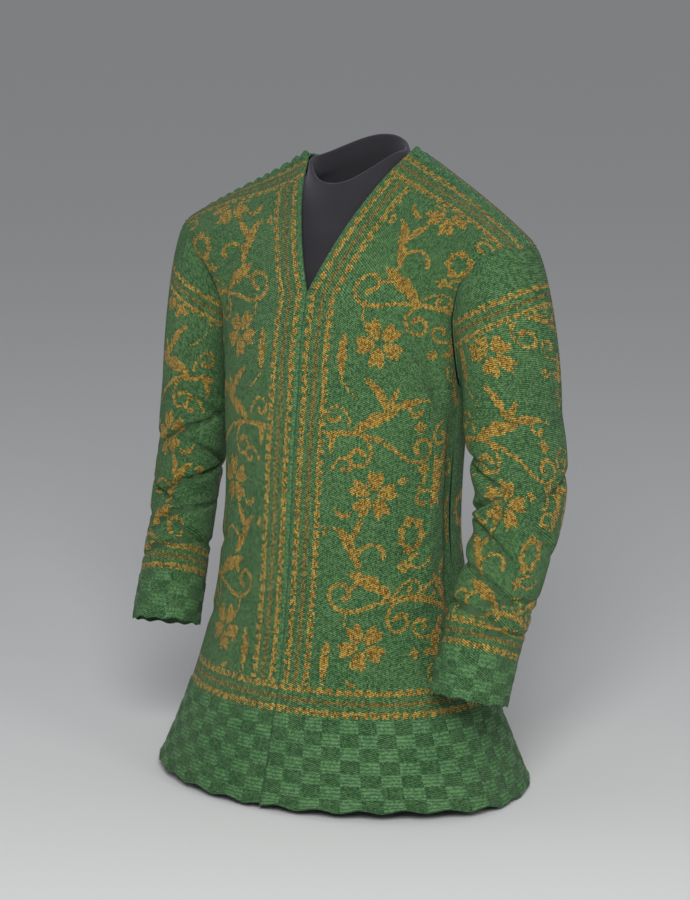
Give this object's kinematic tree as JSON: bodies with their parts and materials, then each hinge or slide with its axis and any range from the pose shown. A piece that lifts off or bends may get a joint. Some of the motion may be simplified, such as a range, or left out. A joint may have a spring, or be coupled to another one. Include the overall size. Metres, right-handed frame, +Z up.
{
  "type": "knitted jacket on a dress form",
  "caption": "Hip-length knitted jacket with long sleeves, an open V front and a flared block-knit hem, standing on a hollow limbless dress form.",
  "frame": {"origin": "centre of the dress form's flat foot, on the surface that it stands on", "axes": "+Z up, the jacket's front faces -Y, the wearer's left is +X"},
  "size_m": [0.4892, 0.333, 0.6765],
  "materials": {
    "jacket_knit": "fine silk knit, soft sheen, patterned with gold thread",
    "form_cover": "matt dark woven cover"
  },
  "bodies": {
    "root": {"back": "jacket_knit", "front_left": "jacket_knit", "front_right": "jacket_knit", "sleeve_left": "jacket_knit", "sleeve_right": "jacket_knit", "shoulder_seam_left": "jacket_knit", "shoulder_seam_right": "jacket_knit", "dress_form": "form_cover"}
  },
  "joints": []
}
